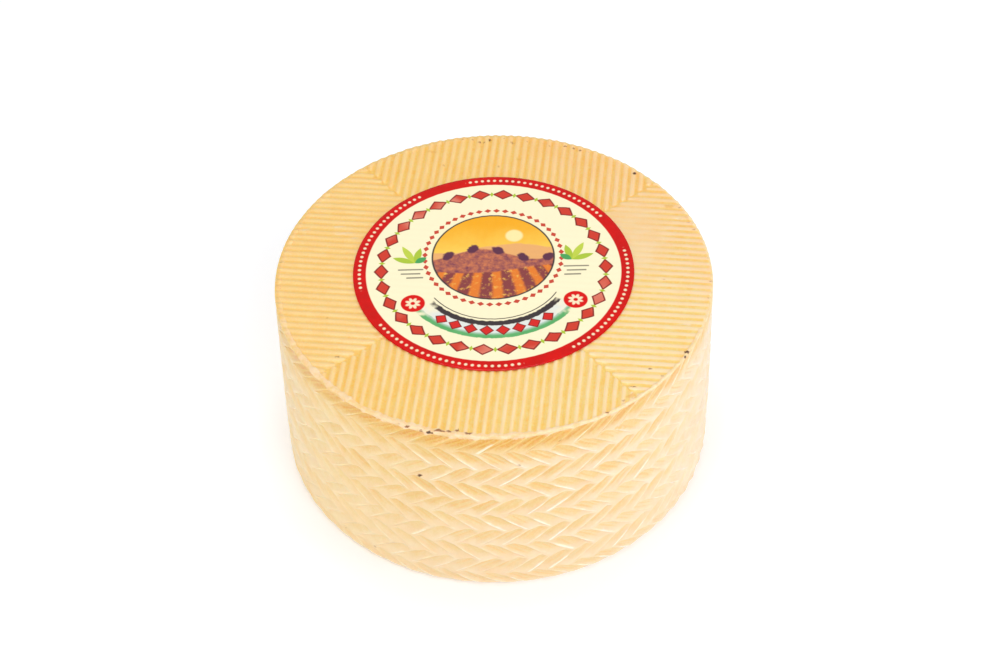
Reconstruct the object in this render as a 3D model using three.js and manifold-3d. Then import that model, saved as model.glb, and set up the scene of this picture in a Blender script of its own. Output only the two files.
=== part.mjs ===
// A whole, uncut wheel of pressed sheep's milk cheese with a round paper label on its top face.
// The side carries the herringbone relief of a plaited grass belt in ten rows, and both faces carry
// the ridges of a pressing board in four quarters, inside a low uneven lip.
// Millimetres, +Z up, origin at the centre of the resting face, front of the label towards -Y.

import * as THREE from "three";
import { mergeVertices } from "three/addons/utils/BufferGeometryUtils.js";
import Module from "manifold-3d";

// The wheel
const TOP_RADIUS = 101;
const BASE_RADIUS = 102.9;
const HEIGHT = 101.5;
const MID_BULGE = 0.5;
const BASE_ROUNDING = 5;

// The plaited side: rows of leaning hollows, each row leaning the other way from the last
const PLAIT_ROWS = 10;
const STRANDS_PER_ROW = 60;
const STRAND_LEAN = 1.25; // how far a strand runs round the wheel across its row, in strands
const HOLLOW_DEPTH = 1.1;
const HOLLOW_ENDS = [0.34, 0.74]; // where a hollow is deepest, as shares of its row from below
const SCALLOP = 0.9; // rise and fall of the wavy line between two rows
const HOLLOW_UNEVENNESS = 0.25; // share by which a hollow's depth varies round the wheel

// The lip round the top face
const LIP_WIDTH = 2.6;
const LIP_HEIGHT = 0.4;
const LIP_WAVE = 0.12;
const LIP_CREST = [0.3, 0.6]; // where its crest lies, as shares of its width from outside
const LIP_DROP = 1.2; // from the top face down to the first strands

// The ridges of the pressing board, on both faces
const RIDGE_PITCH = 3.88;
const GROOVE_FLOOR = 1.5;
const GROOVE_MOUTH = 2.5; // so that a flat crest of 1.38 is left between two grooves
const GROOVE_DEPTH = 0.7;
const TOP_LAND = 0.4; // plain land between the grooves' ends and the lip
const BASE_LAND = 1.4; // plain land between the grooves' ends and the foot's rounding
const PATTERN_TURN = -7; // degrees, of the whole board against the label
// Each quarter faces this way before the turn, and its first crest lies this share of a pitch
// to the left of its middle line.
const QUARTERS = [
  { facing: -90, crestShift: 0.54 },
  { facing: 0, crestShift: 0 },
  { facing: 90, crestShift: 0.5 },
  { facing: 180, crestShift: 0.35 },
];

// The label
const LABEL_RADIUS = 65;
const LABEL_THICKNESS = 0.3;
const LABEL_SHIFT_BACK = 3.1;
const LABEL_SIDES = 90;

const ROW_HEIGHT = HEIGHT / PLAIT_ROWS;
const CUT_MARGIN = 0.3; // how far a cutting tool reaches past the face that it cuts

const wasm = await Module();
wasm.setup();

// A closed geometry as a solid that can be joined and cut.
function solidOf(geometry) {
  const bare = geometry.clone();
  bare.deleteAttribute("normal");
  bare.deleteAttribute("uv");
  const merged = mergeVertices(bare);
  return new wasm.Manifold(
    new wasm.Mesh({
      numProp: 3,
      vertProperties: new Float32Array(merged.attributes.position.array),
      triVerts: new Uint32Array(merged.index.array),
    }),
  );
}

// The solid's surface as a geometry again.
function geometryOf(solid) {
  const mesh = solid.getMesh();
  const geometry = new THREE.BufferGeometry();
  geometry.setAttribute("position", new THREE.BufferAttribute(mesh.vertProperties, 3));
  geometry.setIndex(new THREE.BufferAttribute(mesh.triVerts, 1));
  geometry.computeVertexNormals();
  return geometry;
}

// A slow, uneven variation round the wheel between -1 and 1, at a place counted in strands.
function uneven(strand, seed) {
  const angle = (strand / STRANDS_PER_ROW) * 2 * Math.PI;
  return (
    0.5 * Math.sin(3 * angle + 1.7 * seed) +
    0.3 * Math.sin(7 * angle + 2.9 * seed) +
    0.2 * Math.sin(13 * angle + 4.3 * seed)
  );
}

// The side's radius without its relief: a slight taper to the top and a slight belly.
function sideRadius(z) {
  const share = z / HEIGHT;
  return BASE_RADIUS + (TOP_RADIUS - BASE_RADIUS) * share + 4 * MID_BULGE * share * (1 - share);
}

// A point of the wheel's skin, at a place round it that is counted in strands.
function skinPoint(radius, strand, z) {
  const angle = (strand / STRANDS_PER_ROW) * 2 * Math.PI;
  return new THREE.Vector3(radius * Math.cos(angle), radius * Math.sin(angle), z);
}

// A wheel's skin is gathered as points and triangles.
class Skin {
  points = [];
  faces = [];

  // Adds a point and gives its number.
  add(point) {
    return this.points.push(point) - 1;
  }

  // A ring of points, one for each strand. heightAt gives the height at a place round the wheel.
  ring(radius, heightAt, shift) {
    return Array.from({ length: STRANDS_PER_ROW }, (_, strand) =>
      this.add(skinPoint(radius, strand + shift, heightAt(strand + shift))),
    );
  }

  // A plain band between two rings.
  band(lower, upper) {
    lower.forEach((a, strand) => {
      const next = (strand + 1) % STRANDS_PER_ROW;
      this.faces.push(a, lower[next], upper[next], a, upper[next], upper[strand]);
    });
  }

  // A flat disc that closes the skin at its top or its bottom.
  cap(ring, z, facingUp) {
    const centre = this.add(new THREE.Vector3(0, 0, z));
    ring.forEach((a, strand) => {
      const b = ring[(strand + 1) % STRANDS_PER_ROW];
      this.faces.push(centre, facingUp ? a : b, facingUp ? b : a);
    });
  }

  // A row of hollows between two lines, each of them the corners that two rows share and perhaps the
  // middles of the arches between them. Each hollow is deepest along a line between two points.
  hollows(lower, upper, deepPoints) {
    lower.corners.forEach((a, strand) => {
      const next = (strand + 1) % STRANDS_PER_ROW;
      const [b, c, d] = [lower.corners[next], upper.corners[next], upper.corners[strand]];
      const [e, f] = deepPoints(strand).map((point) => this.add(point));
      this.faces.push(b, c, f, b, f, e, d, a, e, d, e, f);
      this.edge(a, b, lower.middles?.[strand], e);
      this.edge(c, d, upper.middles?.[strand], f);
    });
  }

  // The triangles from an edge, which may be broken at its middle, to a point.
  edge(from, to, middle, tip) {
    if (middle === undefined) this.faces.push(from, to, tip);
    else this.faces.push(from, middle, tip, middle, to, tip);
  }

  geometry() {
    const geometry = new THREE.BufferGeometry();
    const numbers = this.points.flatMap((point) => point.toArray());
    geometry.setAttribute("position", new THREE.Float32BufferAttribute(numbers, 3));
    geometry.setIndex(this.faces);
    return geometry;
  }
}

// The wheel before its faces are grooved: the foot, the rows of the plait and the lip.
function wheelSkin() {
  const wheel = new Skin();
  const level = (z) => () => z;
  const footRadius = BASE_RADIUS - BASE_ROUNDING;
  const roundingAngle = Math.PI / 3;
  const roundingTop = BASE_ROUNDING * (1 - Math.cos(roundingAngle));
  const roundingRadius = footRadius + BASE_ROUNDING * Math.sin(roundingAngle);
  const shiftAt = (line) => ((PLAIT_ROWS - line) % 2 === 0 ? STRAND_LEAN : 0);

  let belowZ = roundingTop;
  let belowShift = shiftAt(0);
  const foot = wheel.ring(footRadius, level(0), belowShift);
  let below = { corners: wheel.ring(roundingRadius, level(roundingTop), belowShift) };
  wheel.cap(foot, 0, false);
  wheel.band(foot, below.corners);
  for (let row = 1; row <= PLAIT_ROWS; row++) {
    const isTop = row === PLAIT_ROWS;
    const z = isTop ? HEIGHT - LIP_DROP : row * ROW_HEIGHT;
    const shift = shiftAt(row);
    const [z0, shift0] = [belowZ, belowShift];
    const line = isTop
      ? { corners: wheel.ring(sideRadius(z), level(z), shift) }
      : {
          corners: wheel.ring(sideRadius(z), level(z - SCALLOP), shift),
          middles: wheel.ring(sideRadius(z), level(z + SCALLOP), shift + 0.5),
        };
    wheel.hollows(below, line, (strand) =>
      HOLLOW_ENDS.map((share) => {
        const deepZ = z0 + share * (z - z0);
        const place = strand + 0.5 + shift0 + share * (shift - shift0);
        const depth = HOLLOW_DEPTH * (1 + HOLLOW_UNEVENNESS * uneven(place, row));
        return skinPoint(sideRadius(deepZ) - depth, place, deepZ);
      }),
    );
    below = line;
    belowZ = z;
    belowShift = shift;
  }

  const lip = (place) => HEIGHT + LIP_HEIGHT + LIP_WAVE * uneven(place, 2);
  const [lipOuter, lipInner] = LIP_CREST.map((share) =>
    wheel.ring(TOP_RADIUS - LIP_WIDTH * share, lip, belowShift),
  );
  const face = wheel.ring(TOP_RADIUS - LIP_WIDTH, level(HEIGHT), belowShift);
  wheel.band(below.corners, lipOuter);
  wheel.band(lipOuter, lipInner);
  wheel.band(lipInner, face);
  wheel.cap(face, HEIGHT, true);
  return wheel.geometry();
}

// One groove's cutting tool: a bar with slanting sides along +X from start to end, centred on
// offset in Y and sunk to the groove's depth below z = 0.
function grooveBar(start, end, offset) {
  const slope = (GROOVE_MOUTH - GROOVE_FLOOR) / 2 / GROOVE_DEPTH;
  const halfFloor = GROOVE_FLOOR / 2;
  const halfTop = halfFloor + slope * (GROOVE_DEPTH + CUT_MARGIN);
  const section = new THREE.Shape();
  section.moveTo(-halfFloor, -GROOVE_DEPTH);
  section.lineTo(halfFloor, -GROOVE_DEPTH);
  section.lineTo(halfTop, CUT_MARGIN);
  section.lineTo(-halfTop, CUT_MARGIN);
  section.closePath();
  const bar = new THREE.ExtrudeGeometry(section, { depth: end - start, bevelEnabled: false });
  const alongX = new THREE.Matrix4().makeBasis(
    new THREE.Vector3(0, 1, 0),
    new THREE.Vector3(0, 0, 1),
    new THREE.Vector3(1, 0, 0),
  );
  return bar.applyMatrix4(alongX).translate(start, offset, 0);
}

// All grooves of one face as one cutting tool: four quarters of parallel grooves that run outwards
// from the two lines along which the quarters meet. place sets the tool on its face.
function faceGrooves(reach, place) {
  const tool = (bar, facing) => {
    const turn = THREE.MathUtils.degToRad(facing + PATTERN_TURN);
    return solidOf(bar.rotateZ(turn).applyMatrix4(place));
  };
  let grooves = tool(grooveBar(-reach, reach, 0), -45).add(tool(grooveBar(-reach, reach, 0), 45));
  const steps = Math.floor((reach * Math.SQRT1_2) / RIDGE_PITCH);
  for (const { facing, crestShift } of QUARTERS) {
    for (let step = -steps - 1; step <= steps; step++) {
      const offset = (step + 0.5 + crestShift) * RIDGE_PITCH;
      const start = Math.abs(offset);
      const end = Math.sqrt(Math.max(0, reach ** 2 - (start + GROOVE_MOUTH / 2) ** 2));
      if (end - start < RIDGE_PITCH) continue;
      grooves = grooves.add(tool(grooveBar(start, end, offset), facing));
    }
  }
  return grooves;
}

function wheelGeometry() {
  const onTop = new THREE.Matrix4().makeTranslation(0, 0, HEIGHT);
  const underneath = new THREE.Matrix4().makeScale(1, -1, -1);
  const wheel = solidOf(wheelSkin())
    .subtract(faceGrooves(TOP_RADIUS - LIP_WIDTH - TOP_LAND, onTop))
    .subtract(faceGrooves(BASE_RADIUS - BASE_ROUNDING - BASE_LAND, underneath));
  return geometryOf(wheel);
}

// The label lies on the crests of the ridges.
function labelGeometry() {
  const disc = new THREE.CylinderGeometry(LABEL_RADIUS, LABEL_RADIUS, LABEL_THICKNESS, LABEL_SIDES);
  disc.rotateX(Math.PI / 2);
  return disc;
}

const rind = new THREE.MeshStandardMaterial({ color: 0xf0d69c, roughness: 0.5, metalness: 0 });
const paper = new THREE.MeshStandardMaterial({ color: 0xc8301f, roughness: 0.35, metalness: 0 });

const cheeseWheel = new THREE.Mesh(wheelGeometry(), rind);
cheeseWheel.name = "cheese_wheel";

const label = new THREE.Mesh(labelGeometry(), paper);
label.name = "label";
label.position.set(0, LABEL_SHIFT_BACK, HEIGHT + LABEL_THICKNESS / 2);

const cheese = new THREE.Group();
cheese.add(cheeseWheel, label);

export default cheese;
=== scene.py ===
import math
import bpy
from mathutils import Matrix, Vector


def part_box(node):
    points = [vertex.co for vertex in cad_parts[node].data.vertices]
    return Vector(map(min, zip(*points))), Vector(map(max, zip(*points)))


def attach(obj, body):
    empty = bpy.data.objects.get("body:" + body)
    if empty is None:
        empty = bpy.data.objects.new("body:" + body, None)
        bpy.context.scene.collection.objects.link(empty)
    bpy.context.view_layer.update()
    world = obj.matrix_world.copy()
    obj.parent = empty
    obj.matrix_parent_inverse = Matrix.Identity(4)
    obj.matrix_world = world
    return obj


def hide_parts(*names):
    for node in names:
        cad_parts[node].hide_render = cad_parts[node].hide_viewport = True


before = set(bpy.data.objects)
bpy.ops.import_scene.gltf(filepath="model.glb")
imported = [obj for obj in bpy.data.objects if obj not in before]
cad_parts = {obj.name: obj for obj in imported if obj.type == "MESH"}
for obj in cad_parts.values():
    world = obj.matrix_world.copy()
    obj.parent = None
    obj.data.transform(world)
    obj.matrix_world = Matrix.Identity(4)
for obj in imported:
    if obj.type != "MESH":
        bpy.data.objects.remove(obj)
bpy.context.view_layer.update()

# A whole wheel of pressed sheep's milk cheese with a round printed label, on a pale floor.
# The wheel's relief is worked out in millimetres in the frame's own axes: +Z up, the front of
# the label towards -Y, the origin at the centre of the resting face.

from types import SimpleNamespace

import bpy
import numpy as np
from mathutils import Matrix, Vector

MM = 0.001

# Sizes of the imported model, in millimetres
_, wheel_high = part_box("cheese_wheel")
label_low, label_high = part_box("label")
FACE_HEIGHT = label_low[2] / MM
LIP_TOP = wheel_high[2] / MM
BASE_RADIUS = wheel_high[0] / MM
LABEL_RADIUS = (label_high[0] - label_low[0]) / 2 / MM
LABEL_SHIFT = (label_high[1] + label_low[1]) / 2 / MM
LABEL_THICKNESS = (label_high[2] - label_low[2]) / MM

# The wheel's outline
TAPER = 1.9
TOP_RADIUS = BASE_RADIUS - TAPER
MID_BULGE = 0.5
FOOT_ROUNDING = 5.0
FOOT_ARC = math.radians(60)  # the part of the foot's rounding below the plait
FOOT_STEPS = 8
SIDE_SWELL = 0.14  # slow unevenness of the whole side
SIDE_INSET = 0.12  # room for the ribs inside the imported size
MARGIN = 0.02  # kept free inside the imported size
GRAIN_HEIGHT = 0.05

# The plaited side
ROWS = 10
STRANDS = 60
STRAND_LEAN = 1.25  # how far a strand runs round the wheel across its row, in strands
FOOT_LINE = 2.5
TOP_LINE = FACE_HEIGHT - 1.2
HOLLOW_DEPTH = 1.15
DEPTH_SHARES = (0.78, 1.12)
SCALLOP = 0.9
ROW_WANDER = 0.42  # how far the lines between the rows stray up and down
STRAND_SWAY = 0.12  # how far the strands stray round the wheel, in strands
THIN_RIDGE = 0.025  # half the flat ridge between two strands where it is thinnest, in strands
RIDGE_SPREAD = 0.11  # how much more that is at the lower end of a row
FIBRES_PER_STRAND = 5
FIBRE_DEPTH = 0.15
FIBRE_SHARES = (0.25, 1.0)
RIB_HEIGHT = 0.44  # thin ribs on the ridges between the strands
RIB_SHARES = (0.2, 1.0)
RIB_HALF_WIDTHS = (0.06, 0.13)  # in strands
LINE_RIB_HEIGHT = 0.12  # thin ribs along the lines between the rows
COLUMNS_PER_STRAND = 28
COLUMNS = STRANDS * COLUMNS_PER_STRAND
CROWDING = 0.45  # how much closer the columns lie at the ridges than halfway
ROW_STEPS = (0.0, 0.03, 0.07, 0.13, 0.22, 0.32, 0.43, 0.54, 0.65, 0.74, 0.82, 0.88, 0.925, 0.965)

# How clearly the plait is pressed, as shares
CLEAREST = math.radians(-76)  # where the plait is pressed deepest, and again across the wheel
BESIDE_PRESS, FRONT_PRESS = 0.40, 0.92
LOW_PRESS, HIGH_PRESS = 0.82, 1.08
PRESS_PATCHES = 0.26
PRESS_LIMITS = (0.2, 1.05)

# The lip round the top face
LIP_HALF_WIDTH = 1.55
LIP_STEPS = 12
FLAT_STEPS = 4  # from the lip's inner edge to the ridges
LIP_WORN_BETWEEN = (-0.55, -0.1)  # the sine of the angle where wear begins and is full
LIP_WEAR = 0.85
LIP_NARROWING = 0.5  # how much narrower the lip is on the right
LIP_LUMPS, LIP_CHIPS, LIP_NICKS = 0.5, 0.35, 0.5
LIP_MARGIN = 0.01
LIP_DROP = 0.12

# The ridges of the pressing board on both faces
RIDGE_PITCH = 3.88
RIDGE_HEIGHT = 0.7
RIDGE_HALF_WIDTHS = (0.1, 1.85)  # where a ridge begins to fall and where it has ended
RIDGE_START = 1.3  # from the line between two quarters to a ridge's end
RIDGE_START_SHIFTS = (-0.5, 0.7)
RIDGE_STRENGTHS = (0.84, 1.0)
RIDGE_COUNT = 80  # more than a quarter holds
RIDGE_WOBBLE = 0.16
RIDGE_LEVEL = 0.7  # the share of a ridge's height where faint ridges lie
QUARTER_EDGE = (-1.0, 5.0)  # where the pressing passes from one quarter to the next
FRONT_EDGE = (0.0, 5.0)
SOFTER_BESIDE = (0.76, 0.62)  # how much shallower the right and left quarters are pressed
SOFTER_IN_FRONT = 0.1
PALER_ON_LEFT = 0.4
FAINT_SPOT = (632, 236)  # a pixel of the photograph, in the middle of the faint ridges
FAINT_REACH = (18.0, 32.0)
FAINT_EDGE = (0.4, 1.3)  # as shares of the reach
FAINT_SHARE = 0.7
PATTERN_TURN = math.radians(-7)
QUARTERS = ((-90, 0.54), (0, 0.0), (90, 0.5), (180, 0.35))  # facing, shift of the first crest
DENTS = ((0.05, 5.0), (0.025, 1.6))  # depth and size
DISH, DISH_SIZE = 0.10, 45.0  # the slow unevenness of the top, round the label
DISH_EDGE = (-2.0, 8.0)  # from the label's edge
TOP_REACH = TOP_RADIUS - 4.2
BOTTOM_REACH = BASE_RADIUS - FOOT_ROUNDING - 0.5
BOTTOM_LAND = 1.4
BOTTOM_DENT, BOTTOM_DENT_SIZE = 0.04, 5.0
TOP_GRID = (0.33, 40)  # gap between the lines, and steps along a line
BOTTOM_GRID = (0.5, 22)
GRID_EASE = 0.25  # how much closer the steps lie at a line's ends
TOP_SEED, BOTTOM_SEED = 100, 200

# The camera that sees the wheel as the photograph does
IMAGE_WIDTH, IMAGE_HEIGHT = 999, 666
FOCAL_PIXELS = 1942.0
SENSOR_WIDTH = 36.0
CAMERA_PLACE = (0.00203, -0.64913, 0.71908)
CAMERA_TILT = math.pi / 2 - math.radians(45.320)  # from straight down
CAMERA_ROLL = math.radians(1.427)
CAMERA_TURN = Matrix.Rotation(CAMERA_TILT, 4, "X") @ Matrix.Rotation(-CAMERA_ROLL, 4, "Z")
SIGHT_REACH = (500.0, 1400.0)  # where the wheel lies along a line of sight
SIGHT_STEP = 0.1

# Marks on the rind, and a few painted highlights, by their pixels in the photograph and their sizes in
# millimetres
DARK_SPECKS = (
    (419, 476, 0.95), (687, 352, 1.0), (686, 357, 0.9), (428, 433, 1.0), (431, 433, 0.7),
    (490, 139, 0.9), (635, 173, 1.0), (561, 440, 0.7), (306, 427, 0.8), (453, 565, 0.8),
)
BROWN_SPECKS = (
    (406, 427, 1.0), (418, 430, 0.9), (421, 432, 0.8), (438, 430, 1.0), (442, 431, 0.8),
    (449, 431, 0.9), (458, 430, 1.0), (468, 433, 1.0), (387, 426, 0.7), (397, 424, 0.8),
    (482, 142, 1.0), (513, 142, 0.9), (581, 150, 0.8), (337, 356, 0.9), (436, 503, 0.7),
    (519, 466, 0.7), (633, 386, 0.8), (650, 368, 0.8), (363, 418, 0.7), (646, 404, 0.8),
    (607, 412, 0.8), (302, 366, 1.0), (566, 146, 0.8), (574, 148, 0.8),
)
FAINT_SPECKS = (
    (451, 142, 0.8), (444, 165, 0.8), (386, 157, 0.8), (484, 383, 0.7), (530, 384, 0.7),
    (662, 375, 0.9), (624, 400, 0.9), (344, 528, 1.0), (375, 547, 0.9), (499, 166, 0.7),
    (506, 138, 0.9), (544, 143, 0.8), (528, 141, 0.7), (306, 477, 0.8), (555, 179, 0.7),
    (524, 562, 0.7), (584, 427, 0.7), (311, 397, 0.7), (680, 207, 0.8), (471, 158, 0.8),
    (289, 237, 0.7), (281, 262, 0.8), (279, 288, 0.7), (327, 317, 0.8), (594, 521, 0.8),
    (711, 281, 0.8), (708, 297, 0.7), (663, 279, 0.7), (461, 139, 0.9), (473, 139, 0.9),
    (550, 146, 0.8), (590, 152, 0.8), (600, 156, 0.8), (694, 229, 0.8), (688, 222, 0.7),
    (708, 257, 0.7),
)
ORANGE_STAINS = (
    (617, 428, 1.0), (621, 428, 1.4), (626, 428, 0.9), (394, 155, 1.3), (432, 151, 1.5),
    (518, 158, 1.3), (514, 157, 1.0), (669, 206, 1.5), (568, 432, 1.6), (632, 395, 1.6),
    (380, 338, 1.6), (376, 334, 1.3), (560, 442, 1.3),
)
# Painted highlights: pale glints on the top's ridges, laid into the lip's pale value
PAINTED_GLINTS = (
    (306, 229, 1.0), (343, 233, 1.1), (355, 237, 0.8), (339, 226, 0.8), (685, 324, 0.9),
    (679, 218, 0.9), (687, 255, 0.8),
)
MARKS = (  # the value at the points, the marks, their strength and how narrow they are
    ("speck", DARK_SPECKS, 1.0, (0.85, 1.1, 1.1)),
    ("speck", BROWN_SPECKS, 0.62, (0.6, 1.2, 1.2)),
    ("speck", FAINT_SPECKS, 0.4, (0.7, 1.1, 1.1)),
    ("stain", ORANGE_STAINS, 0.8, (0.7, 1.1, 1.1)),
    ("lip", PAINTED_GLINTS, 1.0, (0.3, 1.1, 1.1)),
)


def smoothstep(low, high, value):
    share = np.clip((value - low) / (high - low), 0.0, 1.0)
    return share * share * (3.0 - 2.0 * share)


def lattice_noise(u, v, cells_u, cells_v, seed):
    """Soft noise between -1 and 1 over v from 0 to 1. In u it repeats after 1."""
    grid = np.random.default_rng(seed).uniform(-1.0, 1.0, (cells_v + 2, cells_u))
    x = (np.asarray(u, float) % 1.0) * cells_u
    y = np.clip(v, 0.0, 1.0) * cells_v
    x0 = np.floor(x).astype(int)
    y0 = np.floor(y).astype(int)
    fx, fy = smoothstep(0, 1, x - x0), smoothstep(0, 1, y - y0)
    x0, x1 = x0 % cells_u, (x0 + 1) % cells_u
    lower = grid[y0, x0] * (1 - fx) + grid[y0, x1] * fx
    upper = grid[y0 + 1, x0] * (1 - fx) + grid[y0 + 1, x1] * fx
    return lower * (1 - fy) + upper * fy


def layered_noise(u, v, cells_u, cells_v, seed, layers=3):
    """Noise with finer and fainter layers laid over it, still between -1 and 1."""
    total, weight, size = 0.0, 1.0, 0.0
    for layer in range(layers):
        scale = 2**layer
        total = total + weight * lattice_noise(u, v, cells_u * scale, cells_v * scale, seed + layer)
        size += weight
        weight *= 0.55
    return total / size


def plane_noise(x, y, cell, seed):
    """Soft noise over the wheel's faces, with cells of the given size."""
    reach = 2.2 * BASE_RADIUS
    cells = max(2, round(reach / cell))
    return layered_noise(x / reach + 0.5, y / reach + 0.5, cells, cells, seed, layers=2)


def seen_point(pixel_x, pixel_y):
    """The point of the plain wheel that the camera sees at a pixel of the photograph."""
    right = (pixel_x - IMAGE_WIDTH / 2) / FOCAL_PIXELS
    up = (IMAGE_HEIGHT / 2 - pixel_y) / FOCAL_PIXELS
    direction = np.array(CAMERA_TURN.to_3x3() @ Vector((right, up, -1.0)))
    start = np.array(CAMERA_PLACE) / MM
    steps = np.arange(*SIGHT_REACH, SIGHT_STEP)
    path = start + direction * steps[:, None]
    from_axis = np.hypot(path[:, 0], path[:, 1])
    inside = (path[:, 2] < FACE_HEIGHT) & (from_axis < side_radius(path[:, 2]))
    return path[np.argmax(inside)]


def side_radius(z):
    """The side's radius without its relief: a slight taper and belly, and the rounded foot."""
    share = z / FACE_HEIGHT
    radius = BASE_RADIUS + (TOP_RADIUS - BASE_RADIUS) * share + 4 * MID_BULGE * share * (1 - share)
    below = np.clip(FOOT_ROUNDING - z, 0.0, FOOT_ROUNDING)
    radius = radius - (FOOT_ROUNDING - np.sqrt(FOOT_ROUNDING**2 - below**2))
    return np.minimum(radius, BASE_RADIUS - MARGIN)


# The ridges of the pressing board


def pattern_axes(x, y):
    """How far points lie to the right and to the back along the ridges' own turned axes."""
    cos, sin = math.cos(PATTERN_TURN), math.sin(PATTERN_TURN)
    return cos * x + sin * y, cos * y - sin * x


def board_relief(x, y, seed):
    """For points of a face: how far each is up a ridge from 0 to 1, and its ridge's own tone."""
    random = np.random.default_rng(seed)
    shape = (len(QUARTERS), RIDGE_COUNT)
    start_shift = random.uniform(*RIDGE_START_SHIFTS, shape)
    strength = random.uniform(*RIDGE_STRENGTHS, shape)
    tone = random.uniform(-1.0, 1.0, shape)
    right, back = pattern_axes(x, y)
    ridge = np.zeros_like(x)
    ridge_tone = np.zeros_like(x)
    for number, (facing, crest_shift) in enumerate(QUARTERS):
        c, s = math.cos(math.radians(facing)), math.sin(math.radians(facing))
        out, left = c * right + s * back, c * back - s * right
        inside = out >= np.abs(left) - 1e-6
        wobble = RIDGE_WOBBLE * plane_noise(out, left, 14.0, seed + 10 + number)
        place = (left + wobble) / RIDGE_PITCH - crest_shift
        nearest = np.round(place)
        index = (nearest + RIDGE_COUNT // 2).astype(int) % RIDGE_COUNT
        across = (place - nearest) * RIDGE_PITCH
        start = np.abs((nearest + crest_shift) * RIDGE_PITCH) + RIDGE_START
        short = np.clip(start + start_shift[number][index] - out, 0.0, None)
        away = np.hypot(across, short)
        width = 1.0 + 0.12 * plane_noise(out, left, 9.0, seed + 20 + number)
        up = strength[number][index] * (1 - smoothstep(*RIDGE_HALF_WIDTHS, away / width))
        ridge = np.where(inside, up, ridge)
        ridge_tone = np.where(inside, tone[number][index], ridge_tone)
    return ridge, ridge_tone


def ridge_clearness(x, y):
    """How deep the top's ridges are pressed in each quarter, and how clear their colours are."""
    right, back = pattern_axes(x, y)
    beside = smoothstep(*QUARTER_EDGE, np.abs(right) - np.abs(back))
    in_front = smoothstep(*FRONT_EDGE, -back - np.abs(right))
    pressed = 1 - np.where(right > 0, *SOFTER_BESIDE) * beside - SOFTER_IN_FRONT * in_front
    middle = seen_point(*FAINT_SPOT)
    away = np.hypot((x - middle[0]) / FAINT_REACH[0], (y - middle[1]) / FAINT_REACH[1])
    clear = 1 - FAINT_SHARE * beside * (right > 0) * (1 - smoothstep(*FAINT_EDGE, away))
    return pressed * clear, clear * (1 - PALER_ON_LEFT * beside * (right < 0))


def top_height(x, y):
    """Height of the top face, how far up a ridge each point is, and its ridge's own tone."""
    ridge, tone = board_relief(x, y, TOP_SEED)
    pressed, clear = ridge_clearness(x, y)
    relief = RIDGE_LEVEL + (ridge - RIDGE_LEVEL) * pressed
    ridge = RIDGE_LEVEL + (ridge - RIDGE_LEVEL) * clear
    height = FACE_HEIGHT - RIDGE_HEIGHT * (1 - relief)
    for number, (depth, size) in enumerate(DENTS):
        height = height + depth * (plane_noise(x, y, size, 140 + number) - 1)
    from_label = np.hypot(x, y - LABEL_SHIFT) - LABEL_RADIUS
    dish = DISH * (plane_noise(x, y, DISH_SIZE, 142) - 1)
    return height + dish * smoothstep(*DISH_EDGE, from_label), ridge, tone


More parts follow.
